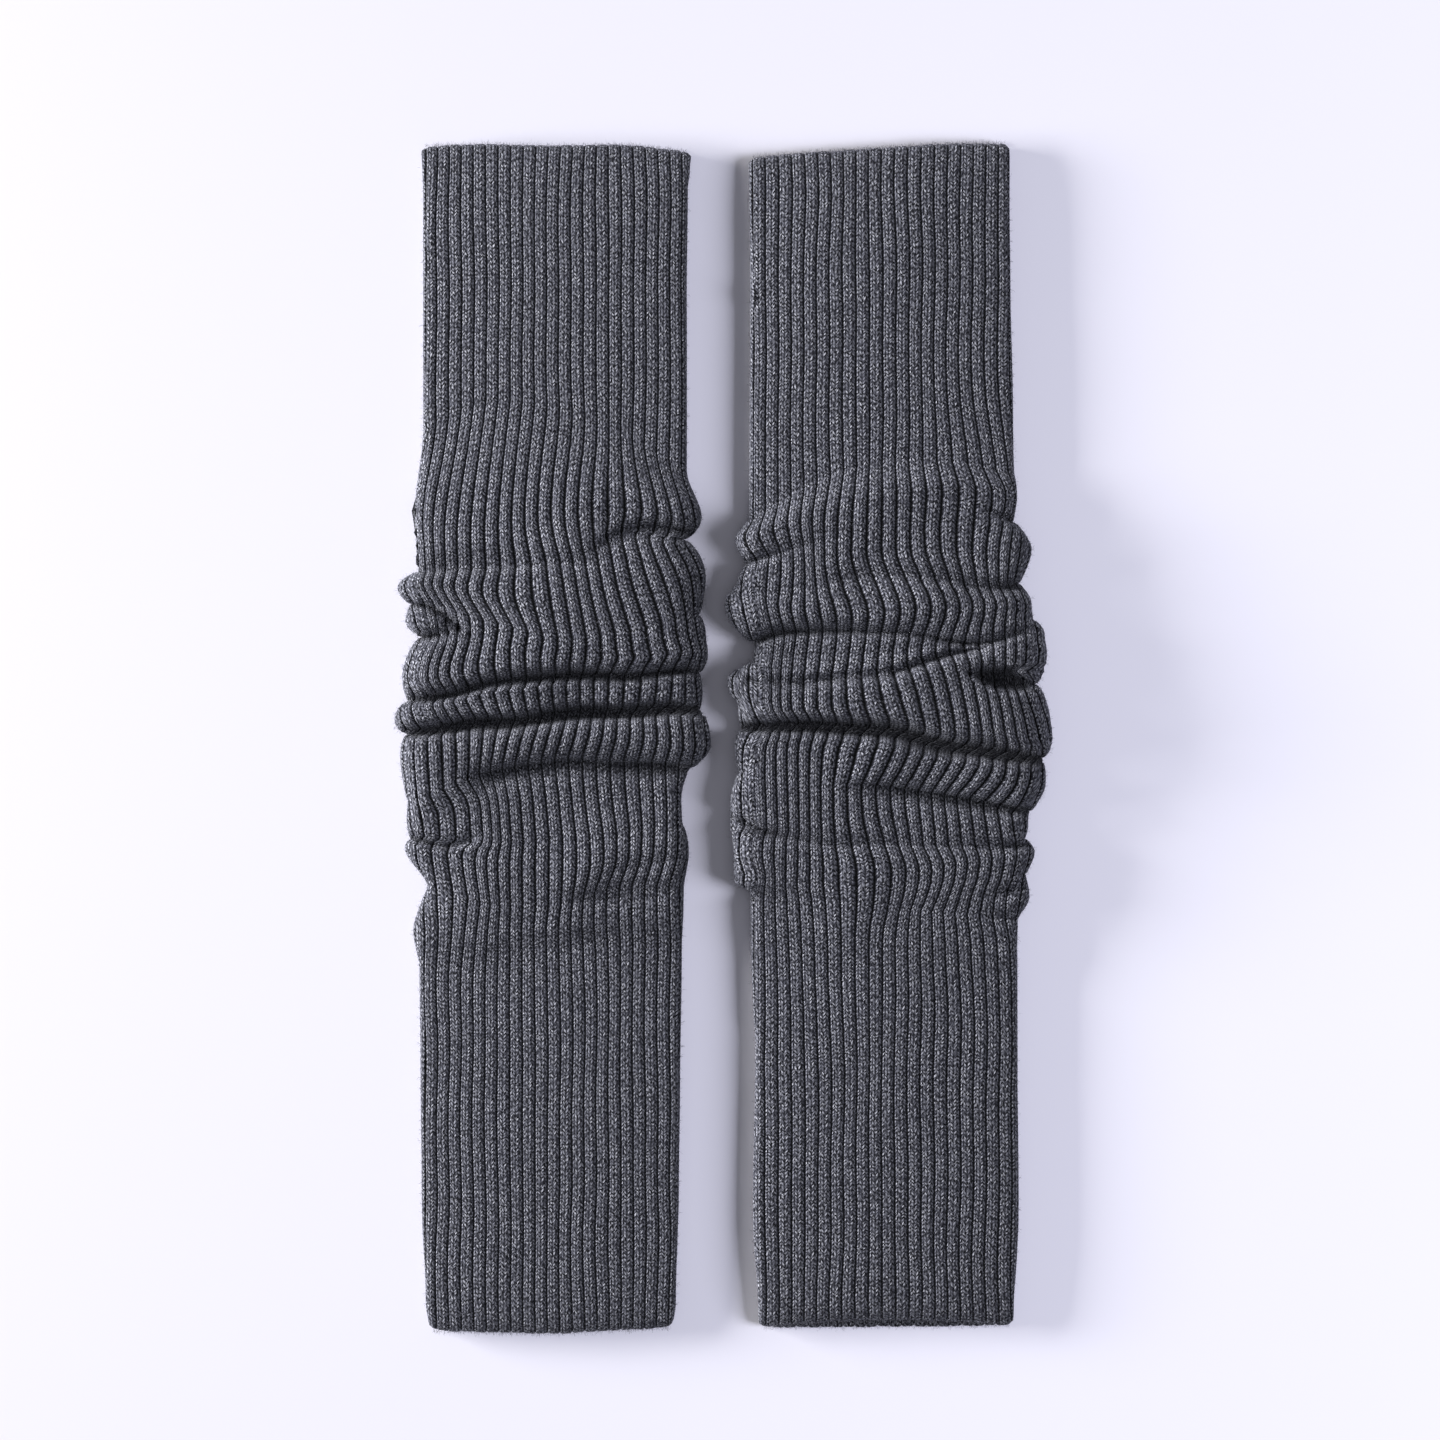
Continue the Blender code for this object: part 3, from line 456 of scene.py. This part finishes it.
def knit(tube):
    """The tube's shell as an object with the knit's own UV map: U counts ribs, V counts courses."""
    grid, opened, painted_shade_share, place, list_of = smooth_tube(tube)
    rows, around = grid.shape[:2]
    normal = normals_of(grid)
    if np.einsum("ij,ij->i", normal[rows // 4], grid[rows // 4] - grid[rows // 4].mean(0)).mean() < 0:
        normal = -normal
    seed = tube["seed"]
    depth = np.tile(RIB_DEPTH, tube["ribs"])[None, :]
    depth = depth + (np.tile(OPEN_DEPTH, tube["ribs"])[None, :] - depth) * opened
    depth = depth * (1 + 0.18 * wander(grid[..., 0], grid[..., 1], 40, seed + 7))
    outer = grid - normal * depth[..., None]

    # courses: arc length down each column, evened so that both hems stay level
    length = np.concatenate([np.zeros((1, around)), np.cumsum(np.linalg.norm(np.diff(grid, axis=0), axis=2), 0)])
    total = length[-1].mean()
    course = length / length[-1] * total / COURSE

    # hems: the outer face rolls in over the edge, and the ribs' ends stand a little proud of the grooves
    def hem(row, sign):
        level = np.stack([normal[row][:, 0], np.zeros(around), normal[row][:, 2]], 1)
        level = unit(level)
        proud = 0.35 - 0.8 * np.tile(RIB_DEPTH, tube["ribs"]) / RIB_DEPTH[0]
        out = []
        uneven = 0.22 * wander(grid[row][:, 0], grid[row][:, 2] * 3, 9, seed + 11)
        middle = (grid[row][:, 0].max() + grid[row][:, 0].min()) / 2
        half = (grid[row][:, 0].max() - grid[row][:, 0].min()) / 2
        corner = (abs(grid[row][:, 0] - middle) / half) ** 24
        for share, run_in in ((0.35, 0.25), (0.65, 1.0), (1.15, 1.45), (1.6, 1.0)):
            p = grid[row] - level * share
            p = p.copy()
            p[:, 1] += sign * (run_in - 1.5 + proud * 1.0 + uneven - 1.1 * corner)
            out.append(p)
        # the roll must start under the outer row's own rib depth
        out[0] = outer[row] * 0.55 + out[0] * 0.45
        out[0][:, 1] = grid[row][:, 1] + sign * (-0.85 + proud * 1.0 + uneven - 1.1 * corner)
        return out

    top_roll, low_roll = hem(0, 1.0), hem(rows - 1, -1.0)
    body = outer[1:-1].copy()
    stack = top_roll[::-1] + [*body] + low_roll
    v_rows = (
        [course[0] - 0.5 * k for k in (3, 2, 1, 0)]
        + [*course[1:-1]]
        + [course[-1] + 0.5 * k for k in (0, 1, 2, 3)]
    )
    stack, v_rows = np.array(stack), np.array(v_rows)
    kept = [i for i, s in enumerate(list_of) if s["inner"] and 1 < i < rows - 2]
    columns = np.arange(0, around, INNER_EVERY)
    # the inner face keeps under every crease that its wide rows could miss
    faces_up = normal[..., 2] > 0
    height = np.where(faces_up, grid[..., 2], 99.0)
    for _ in range(5):
        height = np.minimum(height, np.minimum(np.roll(height, 1, 1), np.roll(height, -1, 1)))
        height[1:-1] = np.minimum(height[1:-1], np.minimum(height[2:], height[:-2]))
    inner = grid - normal * SHELL
    inner[..., 2] = np.where(faces_up, np.minimum(inner[..., 2], np.maximum(height - SHELL, 2.6)), np.minimum(inner[..., 2], 2.4))
    inside = inner[kept][:, columns]
    m, c = len(stack), len(columns)
    points = np.concatenate([stack.reshape(-1, 3), inside.reshape(-1, 3)]) * MM
    base = m * around
    faces, uvs = [], []
    j = np.arange(around)
    k = (j + 1) % around
    u_here = place
    u_next = np.where(k == 0, tube["ribs"], place[k])
    for i in range(m - 1):
        a, b = i * around + j, i * around + k
        d, e = a + around, b + around
        faces.append(np.stack([a, d, e, b], 1))
        uvs.append(
            np.stack(
                [
                    np.stack([u_here, v_rows[i][j]], 1),
                    np.stack([u_here, v_rows[i + 1][j]], 1),
                    np.stack([u_next, v_rows[i + 1][k]], 1),
                    np.stack([u_next, v_rows[i][k]], 1),
                ],
                1,
            )
        )
    quads = np.concatenate(faces).tolist()
    quad_uv = np.concatenate(uvs).reshape(-1, 2)
    # inner surface
    ji = np.arange(c)
    ki = (ji + 1) % c
    inner_u = place[columns]
    inner_next = np.where(ki == 0, tube["ribs"], inner_u[ki])
    inner_v = course[kept][:, columns]
    for i in range(len(kept) - 1):
        a, b = base + i * c + ji, base + i * c + ki
        d, e = a + c, b + c
        quads += np.stack([a, b, e, d], 1).tolist()
        quad_uv = np.concatenate(
            [
                quad_uv,
                np.stack(
                    [
                        np.stack([inner_u, inner_v[i][ji]], 1),
                        np.stack([inner_next, inner_v[i][ki]], 1),
                        np.stack([inner_next, inner_v[i + 1][ki]], 1),
                        np.stack([inner_u, inner_v[i + 1][ji]], 1),
                    ],
                    1,
                ).reshape(-1, 2),
            ]
        )
    # fans from the fine rolled hems to the coarse inner surface
    fan_uv = []
    for rim_row, inner_row, flip in ((0, 0, False), (m - 1, len(kept) - 1, True)):
        for q in range(c):
            fine = [rim_row * around + (columns[q] + w) % around for w in range(INNER_EVERY + 1)]
            near, far = base + inner_row * c + q, base + inner_row * c + (q + 1) % c
            loop = [*fine, far, near]
            uv = [(place[columns[q]] + w / INNER_EVERY * 0.5, float(v_rows[rim_row][0])) for w in range(INNER_EVERY + 1)]
            uv += [(place[columns[q]] + 0.5, float(inner_v[inner_row][0])), (place[columns[q]], float(inner_v[inner_row][0]))]
            if flip:
                loop, uv = loop[::-1], uv[::-1]
            quads.append(loop)
            fan_uv += uv
    quad_uv = np.concatenate([quad_uv, np.array(fan_uv)])
    mesh = bpy.data.meshes.new(tube["node"] + "_knit")
    mesh.from_pydata(points.tolist(), [], quads)
    uv_layer = mesh.uv_layers.new(name="knit")
    uv_layer.data.foreach_set("uv", quad_uv.astype(np.float32).ravel())
    # painted shade per point: the inner face is darkened by a fixed share as the shade inside the tube, the rolled hems
    # not at all, and the outer face by its painted shade in creases and hollows
    painted_shade_per_point = np.full(len(points), 0.7)
    painted_shade_per_point[: m * around] = np.concatenate([np.zeros((4, around)), painted_shade_share[1:-1], np.zeros((4, around))]).ravel()
    mesh.attributes.new("painted_shade_share", "FLOAT", "POINT").data.foreach_set("value", painted_shade_per_point.astype(np.float32))
    mesh.polygons.foreach_set("use_smooth", np.ones(len(mesh.polygons), bool))
    mesh.update()
    shell = bpy.data.objects.new(tube["node"] + "_knit", mesh)
    bpy.context.scene.collection.objects.link(shell)
    return shell, grid, normal, outer, total


class Graph:
    """Short names for making shader nodes."""

    def __init__(self, material):
        self.tree = material.node_tree
        self.across = 0

    def node(self, kind, **settings):
        made = self.tree.nodes.new(kind)
        made.location = (self.across, 0)
        self.across += 40
        for key, value in settings.items():
            setattr(made, key, value)
        return made

    def put(self, socket, value):
        if hasattr(value, "links"):
            self.tree.links.new(value, socket)
        else:
            socket.default_value = value

    def math(self, operation, *values, clamp=False):
        made = self.node("ShaderNodeMath", operation=operation, use_clamp=clamp)
        for socket, value in zip(made.inputs, values):
            self.put(socket, value)
        return made.outputs[0]

    def smooth(self, value, low, high):
        made = self.node("ShaderNodeMapRange", interpolation_type="SMOOTHSTEP")
        for name, v in (("Value", value), ("From Min", low), ("From Max", high), ("To Min", 0.0), ("To Max", 1.0)):
            self.put(made.inputs[name], v)
        return made.outputs[0]

    def vector(self, x, y, z=0.0):
        made = self.node("ShaderNodeCombineXYZ")
        for socket, value in zip(made.inputs, (x, y, z)):
            self.put(socket, value)
        return made.outputs[0]

    def noise(self, vector, scale, detail=2.0, rough=0.5):
        made = self.node("ShaderNodeTexNoise")
        self.put(made.inputs["Vector"], vector)
        made.inputs["Scale"].default_value = scale
        made.inputs["Detail"].default_value = detail
        made.inputs["Roughness"].default_value = rough
        return made.outputs["Fac"]

    def random(self, vector):
        made = self.node("ShaderNodeTexWhiteNoise", noise_dimensions="3D")
        self.put(made.inputs["Vector"], vector)
        return made.outputs["Value"]

    def ramp(self, value, stops):
        made = self.node("ShaderNodeValToRGB")
        self.put(made.inputs["Fac"], value)
        ramp = made.color_ramp
        while len(ramp.elements) < len(stops):
            ramp.elements.new(0.5)
        for element, (where, color) in zip(ramp.elements, stops):
            element.position = where
            element.color = (*color, 1.0)
        return made.outputs["Color"]

    def mix(self, share, a, b, blend="MIX"):
        made = self.node("ShaderNodeMix", data_type="RGBA", blend_type=blend)
        self.put(made.inputs[0], share)
        self.put(made.inputs[6], a)
        self.put(made.inputs[7], b)
        return made.outputs[2]


# Yarn shades of the melange, dark to light
YARN = (
    (0.0, (0.005, 0.005, 0.009)),
    (0.22, (0.020, 0.020, 0.030)),
    (0.40, (0.085, 0.086, 0.111)),
    (0.58, (0.228, 0.231, 0.280)),
    (0.76, (0.425, 0.430, 0.495)),
    (1.0, (0.640, 0.644, 0.715)),
)


def wool(name, seed):
    """Melange rib knit: two columns of V stitches on each rib with painted shade between their legs, a purl groove
    painted nearly black as its shade, painted shade deep in creases, and flecks in each stitch.
    """
    material = bpy.data.materials.new(name)
    material.use_nodes = True
    g = Graph(material)
    shader = material.node_tree.nodes["Principled BSDF"]
    uv = g.node("ShaderNodeUVMap", uv_map="knit")
    split = g.node("ShaderNodeSeparateXYZ")
    g.put(split.inputs[0], uv.outputs["UV"])
    rib, course = split.outputs[0], split.outputs[1]
    # small uneven shifts, so that the stitches aren't ruled
    jog = g.noise(g.vector(rib, g.math("MULTIPLY", course, 0.22), seed), 1.7, 2.0)
    course = g.math("ADD", course, g.math("MULTIPLY", g.math("SUBTRACT", jog, 0.5), 1.5))
    inside = g.math("FRACT", rib)
    edge = g.math("MINIMUM", inside, g.math("SUBTRACT", 1.0, inside))
    groove = g.smooth(edge, 0.03, 0.115)  # 0 in the groove, 1 on the rib
    wale = g.math("MULTIPLY", rib, 2.0)
    wale_id = g.math("FLOOR", wale)
    b = g.math("SUBTRACT", g.math("MULTIPLY", g.math("FRACT", wale), 2.0), 1.0)
    b_abs = g.math("ABSOLUTE", b)
    leg_side = g.math("SIGN", b)
    phase = g.math("SUBTRACT", course, g.math("MULTIPLY", b_abs, 0.85))
    stitch_id = g.math("FLOOR", phase)
    f = g.math("FRACT", phase)
    leg = g.math("SINE", g.math("MULTIPLY", f, math.pi))
    across_leg = g.math("SUBTRACT", g.math("MULTIPLY", b_abs, 2.0), 1.0)
    round_leg = g.math("SUBTRACT", 1.0, g.math("POWER", g.math("ABSOLUTE", across_leg), 2.4))
    loop = g.math("MULTIPLY", g.math("ADD", 0.28, g.math("MULTIPLY", leg, 0.72)), round_leg)
    # fibres: small cells that follow the legs, each set off against its four neighbours
    strand = g.math("FLOOR", g.math("MULTIPLY", rib, 7.0))
    row = g.math("FLOOR", g.math("MULTIPLY", phase, 1.8))
    cell = g.random(g.vector(strand, row, seed + 5.0))
    beside = 0.0
    for step_across, step_along in ((1.0, 0.0), (-1.0, 0.0), (0.0, 1.0), (0.0, -1.0)):
        other = g.random(g.vector(g.math("ADD", strand, step_across), g.math("ADD", row, step_along), seed + 5.0))
        beside = g.math("ADD", beside, g.math("MULTIPLY", other, 0.25))
    fleck = g.math("SUBTRACT", cell, beside)
    shade = g.random(g.vector(g.math("ADD", g.math("MULTIPLY", wale_id, 2.0), leg_side), stitch_id, seed))
    patch = g.noise(g.vector(g.math("MULTIPLY", rib, 0.8), g.math("MULTIPLY", course, 0.12), seed), 0.9, 3.0, 0.6)
    value = g.math("ADD", 0.5, g.math("MULTIPLY", fleck, 0.85))
    value = g.math("ADD", value, g.math("MULTIPLY", g.math("SUBTRACT", shade, 0.5), 0.12))
    value = g.math("ADD", value, g.math("MULTIPLY", g.math("SUBTRACT", patch, 0.5), 0.10), clamp=True)
    color = g.ramp(value, YARN)
    # painted shade: the gaps between the stitch legs and the purl groove are darkened in the colour, as the shade in
    # these recesses
    dark = g.math("ADD", 0.22, g.math("MULTIPLY", loop, 0.95))
    dark = g.math("MULTIPLY", dark, g.math("ADD", 0.04, g.math("MULTIPLY", groove, 0.96)))
    # painted shade: the colour is darkened deep in creases and hollows, standing in for the shade of the folds that
    # hang over them, and on the inner face for the shade inside the tube
    painted_shade_share = g.node("ShaderNodeAttribute", attribute_name="painted_shade_share").outputs["Fac"]
    dark = g.math("MULTIPLY", dark, g.math("SUBTRACT", 1.0, g.math("MULTIPLY", painted_shade_share, 0.72)))
    color = g.mix(1.0, color, dark, "MULTIPLY")
    g.put(shader.inputs["Base Color"], color)
    shader.inputs["Roughness"].default_value = 0.92
    shader.inputs["Specular IOR Level"].default_value = 0.25
    shader.inputs["Sheen Weight"].default_value = 0.35
    shader.inputs["Sheen Roughness"].default_value = 0.45
    shader.inputs["Sheen Tint"].default_value = (0.75, 0.76, 0.85, 1.0)
    fibre = g.noise(g.vector(g.math("MULTIPLY", rib, 24.0), g.math("MULTIPLY", course, 6.0), seed), 1.0, 3.0, 0.7)
    height = g.math("ADD", g.math("MULTIPLY", loop, 1.0), g.math("MULTIPLY", fibre, 0.45))
    bump = g.node("ShaderNodeBump")
    bump.inputs["Strength"].default_value = 0.9
    bump.inputs["Distance"].default_value = 0.0006
    g.put(bump.inputs["Height"], height)
    g.put(shader.inputs["Normal"], bump.outputs["Normal"])
    return material


def fuzz(tube, grid, normal):
    """Loose fibres on the outer face: thin tapered blades, denser along the side edges and the hems."""
    rng = np.random.default_rng(int(tube["seed"] * 10))
    rows, around = grid.shape[:2]
    weight = 1 + 9 * np.clip(1 - np.abs(normal[..., 2]) * 1.3, 0, 1)
    weight[:3] *= 9
    weight[-3:] *= 9
    area = np.linalg.norm(np.gradient(grid, axis=0), axis=2) * np.linalg.norm(np.roll(grid, -1, 1) - grid, axis=2)
    # none on the rounded corners of the hems
    middle = (grid[..., 0].max(1) + grid[..., 0].min(1))[:, None] / 2
    half = (grid[..., 0].max(1) - grid[..., 0].min(1))[:, None] / 2
    inland = abs(grid[..., 0] - middle) < half * 0.965
    inland[3:-3] = True
    chance = (weight * area * (grid[..., 2] > 0.6) * inland).ravel()
    pick = rng.choice(rows * around, 15000, p=chance / chance.sum())
    # a fringe of fibres that stand out from the two hems
    edge_places = np.flatnonzero(inland[0])
    low_places = np.flatnonzero(inland[-1])
    hem = np.concatenate([rng.choice(edge_places, 1300), (rows - 1) * around + rng.choice(low_places, 1300)])
    pick = np.concatenate([pick, hem])
    outwards = np.zeros((len(pick), 3))
    outwards[-2600:-1300, 1] = 2.0
    outwards[-1300:, 1] = -2.0
    root = grid.reshape(-1, 3)[pick] - normal.reshape(-1, 3)[pick] * 0.25
    root[:, 2] -= (outwards[:, 1] != 0) * rng.uniform(0, 0.8, len(pick))
    root = root + rng.normal(0, 0.35, root.shape) * (1, 1, 0.2)
    out = unit(normal.reshape(-1, 3)[pick] + outwards + rng.normal(0, 0.75, (len(pick), 3)))
    bend = unit(out + rng.normal(0, 0.6, (len(pick), 3)))
    long = rng.uniform(0.5, 1.65, len(pick)) ** 1.6
    wide = unit(np.cross(out, bend)) * rng.uniform(0.022, 0.042, (len(pick), 1))
    middle = root + out * (long * 0.5)[:, None]
    end = middle + bend * (long * 0.5)[:, None]
    end[:, 2] = np.maximum(end[:, 2], 0.1)
    middle[:, 2] = np.maximum(middle[:, 2], 0.1)
    points = np.stack([root - wide, root + wide, middle + wide, middle - wide, end], 1).reshape(-1, 3) * MM
    points[:, 2] = np.maximum(points[:, 2], 0.02 * MM)
    first = np.arange(len(pick)) * 5
    faces = np.stack([first, first + 1, first + 2, first + 3], 1).tolist()
    faces += np.stack([first + 3, first + 2, first + 4], 1).tolist()
    mesh = bpy.data.meshes.new(tube["node"] + "_fuzz")
    mesh.from_pydata(points.tolist(), [], faces)
    mesh.update()
    fibres = bpy.data.objects.new(tube["node"] + "_fuzz", mesh)
    bpy.context.scene.collection.objects.link(fibres)
    return fibres


def fibre_material(name, seed):
    material = bpy.data.materials.new(name)
    material.use_nodes = True
    g = Graph(material)
    shader = material.node_tree.nodes["Principled BSDF"]
    where = g.node("ShaderNodeTexCoord")
    tone = g.noise(where.outputs["Object"], 900.0, 1.0)
    g.put(shader.inputs["Base Color"], g.ramp(tone, ((0.3, (0.03, 0.03, 0.04)), (0.7, (0.30, 0.30, 0.34)))))
    shader.inputs["Roughness"].default_value = 0.9
    shader.inputs["Specular IOR Level"].default_value = 0.2
    return material


cloth = []
for number, tube in enumerate(TUBES):
    shell, grid, normal, outer, total = knit(tube)
    shell.data.materials.append(wool(tube["node"] + "_wool", 3.7 * (number + 1)))
    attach(shell, "root")
    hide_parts(tube["node"])
    fibres = fuzz(tube, grid, normal)
    cloth += [shell, fibres]
    fibres.data.materials.append(fibre_material(tube["node"] + "_loose_fibres", number))
    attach(fibres, "root")
    print(tube["node"], "triangles", sum(len(p.vertices) - 2 for p in shell.data.polygons), "cloth length", round(total, 1))

# Floor, light and camera
bpy.ops.mesh.primitive_plane_add(size=6.0, location=(0, 0, -0.0004))
floor = bpy.context.object
floor.name = "floor"
paper = bpy.data.materials.new("pale_paper")
paper.use_nodes = True
paper_shader = paper.node_tree.nodes["Principled BSDF"]
paper_shader.inputs["Base Color"].default_value = (0.760, 0.741, 0.797, 1.0)
paper_shader.inputs["Roughness"].default_value = 0.8
paper_shader.inputs["Specular IOR Level"].default_value = 0.2
floor.data.materials.append(paper)


def lamp(name, place, target, size, power, color):
    data = bpy.data.lights.new(name, "AREA")
    data.shape = "RECTANGLE"
    data.size, data.size_y = size
    data.energy = power
    data.color = color
    obj = bpy.data.objects.new(name, data)
    obj.location = place
    way = np.subtract(target, place)
    from mathutils import Vector

    obj.rotation_euler = Vector(way).to_track_quat("-Z", "Y").to_euler()
    bpy.context.scene.collection.objects.link(obj)
    return obj


cloth_only = bpy.data.collections.new("cloth_only")
for piece in cloth:
    cloth_only.objects.link(piece)
floor_only = bpy.data.collections.new("floor_only")
floor_only.objects.link(floor)
right_only = bpy.data.collections.new("right_only")
right_only.objects.link(bpy.data.objects["calf_sock_right_knit"])

key = lamp("key", (-1.75, 0.42, 0.37), (0, 0, 0), (0.85, 0.36), 55, (0.985, 0.99, 1.0))
upper = lamp("upper", (-1.1, 1.35, 1.1), (0, 0, 0), (1.0, 1.0), 13, (0.97, 0.97, 1.0))
overhead = lamp("overhead", (-0.8, 0.2, 2.1), (0, 0, 0), (2.2, 2.2), 5.6, (0.92, 0.94, 1.0))
key.light_linking.receiver_collection = cloth_only
overhead.light_linking.receiver_collection = cloth_only
upper.light_linking.receiver_collection = cloth_only

# the floor has a lower key of its own, and a faint light from the right that only the right tube stands
# in the way of
floor_key = lamp("floor_key", (-2.1, 0.28, 0.33), (0, 0, 0), (1.0, 0.34), 141, (1.0, 0.995, 0.975))
floor_key.light_linking.receiver_collection = floor_only
floor_fill = lamp("floor_fill", (2.45, -0.40, 1.16), (0, 0, 0), (1.3, 1.15), 122, (0.85, 0.87, 1.0))
floor_fill.light_linking.receiver_collection = floor_only
floor_fill.light_linking.blocker_collection = right_only

world = bpy.data.worlds.new("studio")
world.use_nodes = True
world.node_tree.nodes["Background"].inputs["Color"].default_value = (0.88, 0.90, 1.0, 1.0)
world.node_tree.nodes["Background"].inputs["Strength"].default_value = 0.22
bpy.context.scene.world = world
bpy.context.scene.view_settings.view_transform = "Standard"

camera_data = bpy.data.cameras.new("camera")
camera_data.sensor_width = 36.0
camera = bpy.data.objects.new("camera", camera_data)
bpy.context.scene.collection.objects.link(camera)
DISTANCE = 1.5
FRAME = 0.550  # metres of the floor that the photo's frame spans
camera.location = (-0.0021, 0.0066, DISTANCE)
camera.rotation_euler = (0, 0, 0)
camera_data.lens = 36.0 * DISTANCE / FRAME
bpy.context.scene.camera = camera

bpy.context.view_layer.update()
